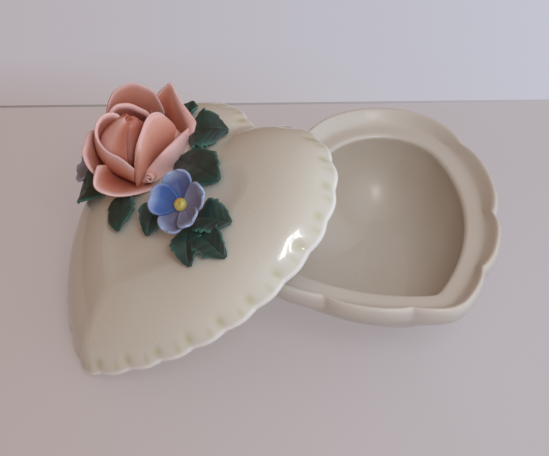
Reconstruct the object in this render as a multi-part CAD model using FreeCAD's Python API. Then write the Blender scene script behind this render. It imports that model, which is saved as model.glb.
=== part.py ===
import FreeCAD, Part
import math
import os
from FreeCAD import Placement, Rotation, Vector

# Heart-shaped porcelain trinket box, in millimetres.
# The box's own frame: the origin is the middle of the base's flat foot, +Z is up,
# the heart's tip points along -Y and its cleft along +Y. Outlines are drawn in
# the heart's frame, whose origin is midway between the centres of its lobes.
# The lid is off: it lies against the base, its left edge on the table.

# ---- heart outline: every outline is this curve at some offset -------------
LOBE_X = 17.7           # a lobe's centre, either side of the middle
LOBE_R = 20.8           # a lobe's radius at the opening's lip (offset 0)
TIP_Y = -55.5           # where the sides would meet in a point at offset 0
SIDE_R = 67.0           # the long side arcs
CLEFT_R = 3.0           # smallest radius in the cleft
TIP_R_MIN = 4.5         # smallest radius at the tip

# ---- base ------------------------------------------------------------------
BASE_H = 32.0           # foot to rim
RIM_OFF = 11.8          # the rim's outer edge
RIM_WIDTH = 2.2         # flat width of the rim's top
LEDGE_OFF = 5.4         # outer edge of the flat ledge inside the rim
LEDGE_DROP = 3.9        # the ledge lies this far below the rim
LEDGE_SLOPE = 3.2       # drop of the sloping band between rim and ledge
FOOT_OFF = -14.0        # outer edge of the foot
FOOT_MIDDLE_Y = -16.0   # the middle of the foot, in the heart's frame
FLOOR_T = 4.0           # thickness of the base's floor
RIM_LOBE_DEPTH = 1.9    # how far the rim's valleys lie inside its crests
RIM_VALLEYS_RIGHT = (20.0, 47.0, 84.0)    # places along the outline from the tip
RIM_VALLEYS_LEFT = (14.5, 42.0, 80.0)

# ---- lid -------------------------------------------------------------------
LID_OFF = 12.3          # the lid's edge just covers the base's rim
LID_H = 15.2            # height of the dome above the lid's edge
LID_HOLLOW = 4.9        # depth of the hollow underneath
LID_FOLDS = 33          # small scallops round the lid's edge
LID_FOLD_DEPTH = 0.5
RING_OUT = 4.7          # locating ring that drops inside the base's rim
RING_IN = 2.3
RING_DROP = 3.0
LID_AT = (-40.0, 13.9, 32.35)   # the leaning lid's own origin, in the heart's frame
LID_TURN = -73.2        # about Z
LID_TILT = 32.0         # then down towards LID_TILT_TO
LID_TILT_TO = 168.5

# ---- flowers on the lid, in the lid's own frame ----------------------------
PETAL_T = 1.5           # thickness of a petal or leaf at its middle
ROSE_AT = (-16.0, 2.0)
ROSE_SINK = 1.2         # how far the rose's foot sinks into the lid's glaze
BLUE_AT = (11.2, -11.0)
BLUE_R = 10.6
BLUE_LIFT = 5.2
BLUE_LEAN = 26.0        # the blue flower's face leans towards the lid's front
BLUE_LEAN_TO = -62.0
VIOLET_AT = (-42.0, -10.5)
VIOLET_R = 8.0
VIOLET_LIFT = 4.5
VIOLET_LEAN = 38.0
VIOLET_LEAN_TO = 200.0
BEAD_R = 1.9
PETALS_PER_FLOWER = 5


def side_centre():
    """Centre of the right-hand side arc: it touches the lobe and the tip."""
    from_lobe = SIDE_R - LOBE_R
    from_tip = SIDE_R
    span = math.hypot(LOBE_X, TIP_Y)
    along = (from_lobe ** 2 - from_tip ** 2 + span ** 2) / (2 * span)
    across = math.sqrt(from_lobe ** 2 - along ** 2)
    ux = -LOBE_X / span
    uy = TIP_Y / span
    return LOBE_X + ux * along + uy * across, uy * along - ux * across


SIDE_X, SIDE_Y = side_centre()


def arc(cx, cy, r, start, end, count):
    """Points on an arc, without its last one."""
    step = (end - start) / count
    return [(cx + r * math.cos(start + i * step), cy + r * math.sin(start + i * step))
            for i in range(count)]


def half_heart(off, cleft_r):
    """The right half of the outline from the tip up to the cleft."""
    tip_r = max(off, TIP_R_MIN)
    reach = SIDE_R + off - tip_r
    tip_y = SIDE_Y - math.sqrt(reach ** 2 - SIDE_X ** 2)
    lobe_r = LOBE_R + off
    cleft_y = math.sqrt((lobe_r + cleft_r) ** 2 - LOBE_X ** 2)
    at_tip = math.atan2(tip_y - SIDE_Y, -SIDE_X)
    at_lobe = math.atan2(-SIDE_Y, LOBE_X - SIDE_X)
    at_cleft = math.atan2(-cleft_y, LOBE_X)
    pts = arc(0, tip_y, tip_r, -math.pi / 2, at_tip, 6)
    pts += arc(SIDE_X, SIDE_Y, SIDE_R + off, at_tip, at_lobe, 20)
    pts += arc(LOBE_X, 0, lobe_r, at_lobe, at_cleft + math.pi, 24)
    pts += arc(0, cleft_y, cleft_r, at_cleft, -math.pi / 2, 5)
    return pts + [(0.0, cleft_y - cleft_r)]


def arc_lengths(pts):
    total = [0.0]
    for a, b in zip(pts, pts[1:]):
        total.append(total[-1] + math.hypot(b[0] - a[0], b[1] - a[1]))
    return total


def rim_wave(s, length, valleys, tip_start):
    """The base's broad lobes: 0 at a crest, -1 in a valley."""
    marks = [-tip_start] + list(valleys) + [length]
    for low, high in zip(marks, marks[1:]):
        if low <= s <= high:
            return -abs(2 * (s - low) / (high - low) - 1) ** 3
    return -1.0


def rim_right(s, length):
    return rim_wave(s, length, RIM_VALLEYS_RIGHT, RIM_VALLEYS_LEFT[0])


def rim_left(s, length):
    return rim_wave(s, length, RIM_VALLEYS_LEFT, RIM_VALLEYS_RIGHT[0])


def lid_wave(s, length):
    """The lid's small scallops, evenly spaced from the tip to the cleft."""
    return 0.5 * math.cos(math.pi * LID_FOLDS * s / length) - 0.5


def waved(half, wave, depth):
    """A half outline pushed in along its normals by a wave."""
    dist = arc_lengths(half)
    moved = []
    for i, (x, y) in enumerate(half):
        a = half[max(i - 1, 0)]
        b = half[min(i + 1, len(half) - 1)]
        nx, ny = b[1] - a[1], a[0] - b[0]
        push = depth * wave(dist[i], dist[-1]) / math.hypot(nx, ny)
        moved.append((x + nx * push, y + ny * push))
    return moved


def outline(off, z, cleft_r=CLEFT_R, waves=None, depth=0.0):
    """One closed smooth wire at an offset, optionally waved in and out."""
    half = half_heart(off, cleft_r)
    right, left = half, half
    if waves:
        right = waved(half, waves[0], depth)
        left = waved(half, waves[1], depth)
    ends = [(0.0, right[0][1])], [(0.0, right[-1][1])]
    mirrored = [(-x, y) for x, y in reversed(left[1:-1])]
    ring = ends[0] + right[1:-1] + ends[1] + mirrored
    curve = Part.BSplineCurve()
    curve.interpolate(Points=[Vector(x, y, z) for x, y in ring], PeriodicFlag=True)
    return Part.Wire([curve.toShape()])


def loft(wires):
    return Part.makeLoft(wires, True, False)


def deep_cleft(off):
    """The cleft fades out towards the middle of the heart."""
    return CLEFT_R + 0.55 * max(0.0, RIM_OFF - off)


RIM_WAVES = (rim_right, rim_left)
LID_WAVES = (lid_wave, lid_wave)


# ---- base ------------------------------------------------------------------
def base_bowl():
    top = BASE_H
    rounded = loft([
        outline(FOOT_OFF, 0.0, deep_cleft(FOOT_OFF)),
        outline(FOOT_OFF + 5.0, 4.5, deep_cleft(FOOT_OFF + 5.0)),
        outline(-2.0, 12.5, deep_cleft(-2.0)),
        outline(7.0, 21.5, deep_cleft(7.0), RIM_WAVES, 0.5 * RIM_LOBE_DEPTH),
        outline(RIM_OFF - 0.2, top - 5.0, CLEFT_R, RIM_WAVES, RIM_LOBE_DEPTH),
        outline(RIM_OFF, top - 1.5, CLEFT_R, RIM_WAVES, RIM_LOBE_DEPTH),
        outline(RIM_OFF - 0.8, top, CLEFT_R, RIM_WAVES, RIM_LOBE_DEPTH),
    ])
    band = loft([
        outline(LEDGE_OFF, top - LEDGE_DROP, deep_cleft(LEDGE_OFF)),
        outline(LEDGE_OFF + 0.6, top - LEDGE_SLOPE, deep_cleft(LEDGE_OFF)),
        outline(RIM_OFF - RIM_WIDTH, top + 0.1, CLEFT_R, RIM_WAVES, 0.7 * RIM_LOBE_DEPTH),
    ])
    cavity = loft([
        outline(FOOT_OFF + 1.5, FLOOR_T, deep_cleft(FOOT_OFF)),
        outline(-6.5, FLOOR_T + 3.5, deep_cleft(-6.5)),
        outline(-2.2, FLOOR_T + 11.0, deep_cleft(-2.2)),
        outline(-0.4, FLOOR_T + 18.0, deep_cleft(-0.4)),
        outline(0.0, top - LEDGE_DROP + 0.1, deep_cleft(0.0)),
    ])
    return rounded.cut(band).cut(cavity)


# ---- lid, in its own frame: its edge lies in the plane z = 0 -----------------
DOME = (
    (LID_OFF - 0.7, 0.0),
    (LID_OFF, 1.0),
    (LID_OFF - 0.9, 3.4),
    (LID_OFF - 4.0, 7.6),
    (LID_OFF - 8.5, 11.0),
    (LID_OFF - 14.5, 13.6),
    (LID_OFF - 24.0, LID_H),
)


def dome_z(x, y):
    """Height of the dome's surface above a point of the lid."""
    x = abs(x)
    turn = (LOBE_X - SIDE_X) * (y - SIDE_Y) + SIDE_Y * (x - SIDE_X)
    if turn > 0:
        off = math.hypot(x - LOBE_X, y) - LOBE_R
    else:
        off = math.hypot(x - SIDE_X, y - SIDE_Y) - SIDE_R
    for (o1, z1), (o2, z2) in zip(DOME[1:], DOME[2:]):
        if o2 <= off <= o1:
            return z1 + (z2 - z1) * (o1 - off) / (o1 - o2)
    return LID_H if off < DOME[-1][0] else 0.0


def lid_shell():
    sections = []
    for k, (off, z) in enumerate(DOME):
        fold = LID_FOLD_DEPTH if k < 3 else 0.0
        sections.append(outline(off, z, deep_cleft(off), LID_WAVES, fold))
    dome = loft(sections)
    ring = loft([
        outline(RING_OUT - 0.4, -RING_DROP, deep_cleft(RING_OUT)),
        outline(RING_OUT, 0.5, deep_cleft(RING_OUT)),
    ])
    hollow = loft([
        outline(RING_IN, -RING_DROP - 0.1, deep_cleft(RING_IN)),
        outline(RING_IN - 0.6, 0.6, deep_cleft(RING_IN)),
        outline(RING_IN - 4.0, 3.4, deep_cleft(RING_IN - 4.0)),
        outline(RING_IN - 11.0, LID_HOLLOW, deep_cleft(RING_IN - 11.0)),
    ])
    return dome.fuse(ring).cut(hollow)


# ---- thin curved pieces: petals and leaves ---------------------------------
def crescent(centre, across, bulge, width, bow, thick):
    """A thin section: two arcs through the same ends, bulging the same way."""
    left = centre - across * (width / 2)
    right = centre + across * (width / 2)
    outer = Part.Arc(left, centre + bulge * (bow + thick / 2), right)
    inner = Part.Arc(right, centre + bulge * (bow - thick / 2), left)
    return Part.Wire([outer.toShape(), inner.toShape()])


def polar(r, deg, z):
    a = math.radians(deg)
    return Vector(r * math.cos(a), r * math.sin(a), z)


def cup_petal(azimuth, rows, thick=PETAL_T):
    """A petal that stands round the rose's axis. A row is its height, its
    distance from the axis, and half the angle that it spans."""
    out = polar(1, azimuth, 0)
    side = polar(1, azimuth + 90, 0)
    wires = []
    for z, r, half in rows:
        chord = r * math.cos(math.radians(half))
        width = 2 * r * math.sin(math.radians(half))
        wires.append(crescent(out * chord + Vector(0, 0, z), side, out, width, r - chord, thick))
    return loft(wires)


def flat_petal(azimuth, reach, width, thick=PETAL_T, dish=1.2):
    """A petal that lies out from a small flower's middle."""
    out = polar(1, azimuth, 0)
    side = polar(1, azimuth + 90, 0)
    up = Vector(0, 0, 1)
    rows = ((0.14, 0.34, 0.0), (0.38, 0.78, 0.35), (0.68, 1.0, 0.75), (0.9, 0.8, 0.95), (1.0, 0.36, 1.0))
    wires = []
    for along, wide, lift in rows:
        middle = out * (reach * along) + up * (dish * lift)
        wires.append(crescent(middle, side, up, width * wide, -0.08 * width * wide, thick))
    return loft(wires)


def leaf(start, end, width, lift):
    """A leaf that lies over the dome from one point of the lid to another."""
    a = Vector(start[0], start[1], 0)
    b = Vector(end[0], end[1], 0)
    along = (b - a).normalize()
    side = Vector(-along.y, along.x, 0)
    up = Vector(0, 0, 1)
    rows = ((0.0, 0.3, 0.6), (0.25, 0.85, 1.0), (0.5, 1.0, 1.0), (0.78, 0.66, 0.8), (1.0, 0.12, 0.45))
    wires = []
    for t, wide, rise in rows:
        p = a + (b - a) * t
        p.z = dome_z(p.x, p.y) + lift * rise
        wires.append(crescent(p, side, up, width * wide, -0.12 * width * wide, PETAL_T))
    return loft(wires)


# ---- rose ------------------------------------------------------------------
# name: azimuth, then rows of height, distance from the axis, half angle
ROSE = {
    "rose_inner_petal_left": (200, ((0, 3.4, 70), (8, 5.4, 78), (15, 5.6, 62), (19.5, 4.6, 26))),
    "rose_inner_petal_right": (15, ((0, 3.8, 66), (8, 6.9, 74), (15, 7.6, 58), (20.5, 6.4, 20))),
    "rose_middle_petal_left": (205, ((0, 5.8, 56), (7, 8.6, 62), (13, 9.4, 52), (17.5, 8.8, 22))),
    "rose_middle_petal_back": (118, ((0, 6.3, 46), (8, 9.4, 50), (15, 10.4, 42), (20, 10.0, 16))),
    "rose_front_petal": (255, ((0, 7.6, 50), (5, 11.5, 56), (9, 15.0, 50), (11.5, 18.0, 30))),
    "rose_left_petal": (190, ((0, 8.4, 34), (6, 12.6, 38), (12, 16.4, 34), (15.5, 18.4, 17))),
    "rose_back_left_petal": (132, ((0, 9.8, 34), (8, 13.6, 38), (16, 15.6, 32), (24, 15.8, 12))),
    "rose_back_right_petal": (66, ((0, 9.6, 30), (8, 13.6, 34), (17, 15.8, 26), (25, 15.6, 7))),
    "rose_right_petal": (2, ((0, 8.0, 40), (6, 12.6, 50), (11, 17.0, 46), (15, 20.0, 30))),
}
BUD_ROWS = ((0.0, 3.0), (7.0, 4.2), (13.0, 3.6), (18.0, 1.6))


def rose_bud():
    """The tightly rolled middle of the rose."""
    rings = [Part.Wire([Part.makeCircle(r, Vector(0, 0, z))]) for z, r in BUD_ROWS]
    return loft(rings)


def rose_pieces():
    foot = Vector(ROSE_AT[0], ROSE_AT[1], dome_z(*ROSE_AT) - ROSE_SINK)
    at_foot = Placement(foot, Rotation())
    pieces = {"rose_bud": rose_bud()}
    for name, (azimuth, rows) in ROSE.items():
        pieces[name] = cup_petal(azimuth, rows)
    return place(pieces, at_foot)


# ---- small five-petalled flowers -------------------------------------------
def small_flower(colour, at, radius, lift, lean, lean_to, first):
    """Five petals and a bead, on a face that leans away from straight up."""
    width = 1.08 * radius
    pieces = {}
    for k in range(PETALS_PER_FLOWER):
        azimuth = first + 360.0 / PETALS_PER_FLOWER * k
        pieces[f"{colour}_flower_petal_{k + 1}"] = flat_petal(azimuth, radius, width)
    pieces[f"{colour}_flower_bead"] = Part.makeSphere(BEAD_R, Vector(0, 0, 0.6))
    foot = Vector(at[0], at[1], dome_z(*at) + lift)
    turn = Rotation(polar(1, lean_to + 90, 0), lean)
    return place(pieces, Placement(foot, turn))


# ---- leaves: where each starts and ends on the lid, width, lift -------------
LEAVES = {
    "leaf_back_right": ((-6.5, 10.0), (6.5, 21.0), 14.5, 3.4),
    "leaf_back": ((-13.0, 15.5), (-18.0, 24.5), 8.0, 5.0),
    "leaf_right": ((0.5, 3.0), (17.0, 2.5), 13.0, 3.0),
    "leaf_left": ((-32.0, -10.0), (-43.0, -18.0), 8.5, 3.0),
    "leaf_front_left": ((-25.0, -12.0), (-12.5, -24.5), 10.0, 3.2),
    "leaf_below_blue": ((-2.5, -9.5), (1.0, -21.0), 9.0, 3.0),
    "leaf_right_of_blue": ((13.0, -6.0), (27.5, -5.0), 12.0, 2.6),
    "leaf_front": ((14.0, -15.0), (24.5, -26.0), 9.5, 3.0),
    "leaf_front_right": ((19.0, -11.5), (33.0, -19.0), 11.5, 2.8),
}


def leaf_pieces():
    return {name: leaf(*spec) for name, spec in LEAVES.items()}


# ---- assembly --------------------------------------------------------------
def place(pieces, placement):
    moved = {}
    for name, shape in pieces.items():
        copy = shape.copy()
        copy.Placement = placement.multiply(copy.Placement)
        moved[name] = copy
    return moved


def lid_placement():
    tilt = Rotation(polar(1, LID_TILT_TO + 90, 0), LID_TILT)
    turn = Rotation(Vector(0, 0, 1), LID_TURN)
    return Placement(Vector(*LID_AT), tilt.multiply(turn))


def lid_pieces():
    pieces = {"lid_shell": lid_shell()}
    pieces.update(rose_pieces())
    pieces.update(small_flower("blue", BLUE_AT, BLUE_R, BLUE_LIFT, BLUE_LEAN, BLUE_LEAN_TO, 52.0))
    pieces.update(small_flower("violet", VIOLET_AT, VIOLET_R, VIOLET_LIFT,
                               VIOLET_LEAN, VIOLET_LEAN_TO, 20.0))
    pieces.update(leaf_pieces())
    return place(pieces, lid_placement())


def all_pieces():
    pieces = {"base_bowl": base_bowl()}
    pieces.update(lid_pieces())
    return place(pieces, Placement(Vector(0, -FOOT_MIDDLE_Y, 0), Rotation()))


def main():
    os.makedirs("parts", exist_ok=True)
    pieces = all_pieces()
    for name, shape in pieces.items():
        shape.exportStep(f"parts/{name}.step")
        print(name, shape.isValid(), len(shape.Solids), round(shape.Volume))


if __name__ == "__main__":
    main()
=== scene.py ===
import math
import bpy
import numpy as np
from mathutils import Matrix, Vector

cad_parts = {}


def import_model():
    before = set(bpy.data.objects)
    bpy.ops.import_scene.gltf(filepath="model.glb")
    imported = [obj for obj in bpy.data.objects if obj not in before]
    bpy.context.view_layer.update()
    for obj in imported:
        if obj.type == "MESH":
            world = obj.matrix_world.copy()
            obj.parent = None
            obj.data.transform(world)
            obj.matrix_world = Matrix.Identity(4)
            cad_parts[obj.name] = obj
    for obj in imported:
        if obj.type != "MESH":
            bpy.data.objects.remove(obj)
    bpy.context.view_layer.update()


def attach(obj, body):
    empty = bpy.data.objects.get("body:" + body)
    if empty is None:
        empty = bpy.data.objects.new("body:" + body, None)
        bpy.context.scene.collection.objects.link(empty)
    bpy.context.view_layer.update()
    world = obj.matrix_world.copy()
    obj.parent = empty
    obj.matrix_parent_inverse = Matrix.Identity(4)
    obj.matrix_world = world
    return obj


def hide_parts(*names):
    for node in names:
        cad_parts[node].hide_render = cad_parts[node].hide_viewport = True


# Looks of the heart-shaped porcelain trinket box: the bowl, and the lid that leans on it with its
# rose, its two small flowers and its nine leaves. Lengths are in millimetres, and become metres
# where a mesh, a light or the camera is made. The heart's tip points to -Y in its own frame, whose
# origin is between the lobes' centres. The frame's origin is the middle of the base's foot.

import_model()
MM = 0.001

# ---- the heart: every outline is this curve at some offset -----------------------------------------
LOBE_X = 17.7           # a lobe's centre, either side of the middle
LOBE_R = 20.8           # a lobe's radius at the opening's lip (offset 0)
TIP_Y = -55.5           # where the sides would meet in a point at offset 0
SIDE_R = 67.0           # the long side arcs
CLEFT_R = 3.0           # smallest radius in the cleft
CLEFT_FADE = 0.55       # how much the cleft's radius grows for each millimetre inwards
TIP_R_MIN = 4.5         # smallest radius at the tip
TIP_STEPS, SIDE_STEPS, LOBE_STEPS, CLEFT_STEPS = 18, 120, 150, 22

# ---- the base --------------------------------------------------------------------------------------
FOOT_MIDDLE_Y = -16.0   # the foot's middle in the heart's frame
RIM_OFF = 11.8          # the rim's outer edge
RIM_VALLEYS_RIGHT = (20.0, 47.0, 84.0)    # the rim's valleys, along the outline from the tip
RIM_VALLEYS_LEFT = (14.5, 42.0, 80.0)
RIM_LOBE_DEPTH = 1.9    # how far the valleys lie inside the crests
RIM_DIP = 0.22          # how far the rim's height follows its lobes
LOBES_ABOVE = 20.0      # height above which it does
SHARP_CLEFT_ABOVE = 24.0          # the rim's own cleft is sharp: above this height
SHARP_CLEFT_OUTSIDE = 6.0         # and outside this offset
# painted shade: the bowl's inside is darkened below this height
PAINTED_SHADE_BELOW = 27.5    # the inside is darker below this height

# offset from the opening's lip, height, share of the lobes' depth: from the foot up the outside,
# over the rim and the ledge, and down the inside
BASE_PROFILE = (
    (-16.4, 1.0, 0.0), (-15.6, 0.2, 0.0), (-14.6, 0.03, 0.0), (-13.7, 0.4, 0.0),
    (-12.0, 1.9, 0.0), (-9.0, 4.7, 0.0), (-5.5, 8.6, 0.0), (-2.0, 12.6, 0.05), (2.4, 17.0, 0.2),
    (6.6, 21.2, 0.5), (9.8, 24.6, 0.8), (11.3, 27.0, 1.0), (11.8, 29.2, 1.05), (11.75, 30.6, 1.0),
    (11.4, 31.6, 1.0), (10.8, 32.0, 1.0), (10.1, 31.8, 0.95), (9.3, 31.1, 0.85), (8.2, 30.0, 0.7),
    (7.2, 29.1, 0.45), (6.3, 28.55, 0.2), (5.2, 28.3, 0.08), (3.8, 28.25, 0.0), (2.2, 28.25, 0.0),
    (1.1, 28.15, 0.0), (0.4, 27.7, 0.0), (0.0, 26.9, 0.0), (-0.1, 25.0, 0.0), (-0.5, 22.0, 0.0),
    (-1.6, 18.5, 0.0), (-3.5, 14.6, 0.0), (-6.2, 10.9, 0.0), (-9.6, 7.7, 0.0), (-12.2, 6.0, 0.0),
    (-14.2, 5.1, 0.0), (-15.6, 4.65, 0.0), (-16.6, 4.4, 0.0),
)
FOOT_HOLLOW = (0.0, 0.0, 1.1)     # the middle of the foot's underside
FLOOR_MIDDLE = (0.0, 0.0, 4.0)    # the middle of the floor inside

# ---- the lid, and how it leans, as in the frame ----------------------------------------------------
LID_AT = (-40.0, 13.9 - FOOT_MIDDLE_Y, 32.35)
LID_TURN = -73.2        # about Z
LID_TILT = 32.0         # then down towards LID_TILT_TO
LID_TILT_TO = 168.5
LID_OFF = 12.18         # the lid's edge
LID_FOLDS = 28          # scallops round the edge
LID_FOLD_DEPTH = 0.75
LID_FOLD_LIFT = 0.35    # how far the edge rises in a valley
LID_FOLD_WIDTH = 5.0    # how far in from the edge the scallops reach
LID_FULLER = 1.3        # the right side swells out this much more than the left
DIMPLE = (2.1, 1.5, 0.4, 0.68)    # in each valley: how far in, width, depth, how green
GROOVE = (1.3, 0.9, 0.15, 0.42)   # by each crest: the same

# distance in from the edge, height: the dome, from its edge to where it flattens
DOME = (
    (0.35, 0.25), (0.0, 0.9), (0.05, 1.6), (0.55, 2.5), (1.6, 3.9), (3.0, 5.6), (4.6, 7.3), (6.6, 9.0),
    (9.0, 10.6), (12.0, 12.1), (15.5, 13.4), (19.5, 14.4), (24.0, 15.1),
)
DOME_MIDDLE = (0.0, -9.0, 15.9)
# the same for the lid's underside: flat edge, locating ring, shallow hollow
UNDERSIDE = (
    (0.9, 0.0), (3.0, 0.0), (6.4, 0.0), (7.2, -0.25), (7.6, -1.4), (8.0, -2.6), (8.6, -3.0), (9.4, -2.9),
    (9.9, -2.2), (10.3, -0.6), (11.2, 1.0), (13.8, 2.9), (17.5, 4.2), (21.0, 4.8), (24.0, 4.9),
)
HOLLOW_MIDDLE = (0.0, -9.0, 5.0)

# ---- the rose, in the lid's own frame --------------------------------------------------------------
ROSE_FOOT = (-23.0, -1.0, 13.6)
ROSE_AXIS = (0.424, 0.36, 0.831)          # the rose leans off the lid's normal
ROSE_RIGHT = (0.616, 0.543, -0.571)
PETAL_T = 0.95          # an open petal's thickness
ROLLED_T = 0.8
BUD_T = 0.7

# rim: points as right, back, up from the rose's foot. foot: azimuths of its two ends, radius, height.
# swell: radius and height of the widest part. reach: how far out and down from the rim the upper
# part starts. lip: the outward roll's radius, and its turn at one end, the middle and the other end.
# fold, deep: how dark the colour gets below, and how far up that reaches.
ROSE = {
    "rose_bud_right": dict(
        rim=((-0.3, -10.2, 5.2), (-1.4, -11.2, 9.6), (-0.9, -9.0, 14.6), (0.3, -4.8, 17.4),
             (1.7, 0.2, 18.2), (3.8, 3.6, 18.2), (6.6, 5.2, 16.6), (8.9, 5.0, 14.2), (10.8, 2.5, 11.1),
             (11.0, 0.5, 8.4)),
        foot=(262, 372, 4.0, -0.5), swell=(12.6, 2.0), reach=(5.6, 2.6), lip=(0.6, 60, 120, 60), fold=0.8,
        deep=1.35),
    "rose_ring_back": dict(
        rim=((-11.3, 4.0, 9.0), (-10.4, 6.4, 13.6), (-8.2, 8.6, 15.9), (-5.4, 9.2, 16.1), (-2.4, 9.2, 15.2),
             (0.8, 8.6, 13.9), (2.8, 7.8, 11.9), (5.0, 8.0, 8.0)),
        foot=(160, 60, 4.5, 0.0), swell=(11.0, 4.0), reach=(1.2, 3.6), lip=(0.75, 90, 115, 100), fold=0.85),
    "rose_ring_left": dict(
        rim=((-6.0, 3.4, 15.2), (-8.4, 4.7, 16.6), (-11.4, 4.4, 16.6), (-13.4, 2.1, 15.9),
             (-14.1, -0.6, 14.7), (-13.2, -3.8, 13.6), (-10.6, -6.9, 12.8), (-7.0, -8.9, 12.0),
             (-4.6, -10.2, 10.8), (-1.7, -11.4, 8.8)),
        foot=(135, 268, 5.0, 0.0), swell=(13.0, 3.0), reach=(1.4, 4.0), lip=(0.8, 80, 110, 80), fold=0.75),
    "rose_front": dict(
        rim=((-12.6, -9.0, 9.0), (-13.9, -12.4, 6.6), (-13.6, -14.6, 4.8), (-11.2, -15.8, 4.0),
             (-6.8, -16.4, 3.0), (-1.2, -15.6, 3.5), (2.7, -14.9, 4.4), (6.5, -12.6, 5.0), (9.6, -9.6, 5.6)),
        foot=(205, 330, 5.0, -0.5), swell=(9.0, 1.0), reach=(-4.2, 1.2), lip=(1.2, 50, 65, 40), fold=0.8),
    "rose_left": dict(
        rim=((-13.0, 4.0, 9.5), (-15.6, 1.6, 11.6), (-17.0, -2.2, 11.4), (-17.3, -5.8, 9.8),
             (-16.4, -8.2, 8.2), (-14.8, -9.4, 6.0), (-13.0, -8.4, 3.4)),
        foot=(165, 232, 5.5, -0.5), swell=(12.0, 1.5), reach=(-2.6, 4.0), lip=(0.9, 60, 75, 60), fold=0.7),
    "rose_back_left": dict(
        rim=((-11.9, 4.6, 8.0), (-11.0, 8.4, 13.0), (-10.0, 11.4, 17.4), (-8.0, 13.4, 19.4),
             (-4.6, 14.6, 20.6), (-1.1, 14.8, 20.9), (2.4, 14.4, 18.8), (5.2, 13.4, 16.2), (7.6, 11.4, 11.0)),
        foot=(155, 62, 6.0, -0.5), swell=(12.5, 4.0), reach=(-0.6, 6.0), lip=(0.8, 20, 45, 20), fold=0.55),
    "rose_back_right": dict(
        rim=((3.0, 12.4, 9.0), (4.2, 14.2, 14.8), (6.6, 15.4, 18.0), (8.7, 15.9, 20.2), (10.1, 15.0, 19.6),
             (11.0, 13.4, 17.3), (12.6, 10.4, 14.8), (14.4, 6.6, 13.6), (15.6, 2.6, 13.2), (15.0, -1.5, 9.0)),
        foot=(78, -24, 6.0, 3.5), swell=(13.0, 7.0), reach=(-1.5, 6.0), lip=(1.6, 5, 20, 150), fold=0.9,
        ruffle=0.08),
}
# the closed bud: height, how wide, and its middle's place
BUD = ((0.2, 4.0, -3.0, -1.6), (4.0, 7.4, -3.2, -1.2), (7.6, 8.4, -3.3, -0.6), (10.0, 8.3, -3.3, 0.2),
       (11.7, 7.4, -3.4, 0.8), (13.6, 5.7, -3.6, 1.3), (15.6, 4.0, -3.7, 1.8), (17.4, 2.5, -3.5, 2.2),
       (18.1, 1.0, -3.3, 2.3))
# the right petal turns outwards: its crest, then its outer edge, and the scroll at its front end
ROLL_CREST = ((-0.4, -12.0, 3.4), (0.7, -11.8, 6.2), (2.7, -11.0, 10.4), (6.3, -8.9, 14.8), (9.4, -5.2, 15.4),
              (11.9, -1.2, 14.4), (14.4, 2.4, 13.6), (16.9, 5.4, 14.0))
ROLL_EDGE = ((2.4, -13.4, 6.6), (4.0, -13.6, 6.4), (6.6, -12.2, 6.8), (9.6, -9.6, 7.2), (12.6, -7.0, 6.8),
             (15.0, -3.6, 5.8), (16.4, 0.8, 7.4), (18.0, 5.4, 10.6))
SCROLL_AT = (2.7, -14.6, 9.1)
SCROLL_ALONG = (0.45, 0.78, -0.38)
# each piece of the rose and the CAD node it stands for
ROSE_NODES = {
    "rose_heart": ("rose_bud",),
    "rose_bud_left": ("rose_inner_petal_left",),
    "rose_bud_right": ("rose_inner_petal_right",),
    "rose_ring_back": ("rose_middle_petal_back",),
    "rose_ring_left": ("rose_middle_petal_left",),
    "rose_front": ("rose_front_petal",),
    "rose_left": ("rose_left_petal",),
    "rose_back_left": ("rose_back_left_petal",),
    "rose_back_right": ("rose_back_right_petal",),
    "rose_right_rolled": ("rose_right_petal",),
}

# ---- small flowers: place on the lid, height above the dome, lean and where to ---------------------
# petals: azimuth, reach, width, lift, and how far from blue to grey
BLUE = dict(at=(14.9, -11.6), lift=6.8, lean=22.0, lean_to=-50.0, petals=(
    (130, 11.2, 10.4, 0.0, 0.35), (189, 10.6, 9.8, 1.5, 0.0), (262, 9.6, 9.4, 0.0, 0.65),
    (330, 8.2, 8.2, 1.2, 0.8), (45, 9.2, 9.2, 0.9, 0.95)))
VIOLET = dict(at=(-40.6, -7.9), lift=4.5, lean=26.0, lean_to=200.0, petals=(
    (40, 7.0, 8.0, 0.0, 0.9), (112, 7.6, 8.0, 0.6, 0.7), (183, 10.4, 9.4, 0.0, 0.9),
    (256, 8.0, 8.6, 0.6, 0.8), (328, 7.0, 8.0, -0.4, 0.9)))
FLOWER_PETAL_T = 0.9
BEAD_R = 2.1
BEAD_LIFT = 1.2

# ---- leaves ----------------------------------------------------------------------------------------
# name: base and tip on the lid, heights above the dome at base, middle and tip, width, fold, roll
LEAVES = {
    "leaf_back_right": ((-9.8, 12.6), (1.2, 20.2), (0.3, 3.6, 2.6), 15.5, 0.12, 0.0),
    "leaf_back": ((-16.8, 18.4), (-20.4, 25.0), (0.3, 1.6, 3.0), 7.0, 0.30, 0.0),
    "leaf_right": ((-7.0, 3.8), (16.0, 2.1), (0.3, 2.6, 1.8), 15.5, 0.12, 0.1),
    "leaf_left": ((-26.0, -13.5), (-43.0, -19.3), (0.6, 3.2, 3.0), 12.0, 0.30, 0.1),
    "leaf_front_left": ((-18.5, -13.3), (-9.2, -25.7), (0.3, 1.6, 1.6), 11.0, 0.12, -0.1),
    "leaf_below_blue": ((0.0, -10.5), (3.5, -23.3), (0.8, 2.2, 1.6), 9.5, 0.35, 0.3),
    "leaf_right_of_blue": ((16.6, -12.2), (30.2, -9.0), (0.8, 2.6, 1.6), 12.0, 0.22, 0.0),
    "leaf_front": ((16.6, -15.2), (25.6, -26.3), (0.8, 2.2, 1.6), 10.0, 0.28, 0.1),
    "leaf_front_right": ((20.6, -15.6), (34.5, -18.9), (0.6, 2.4, 1.6), 10.5, 0.25, -0.1),
}
LEAF_T = 1.0
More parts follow.
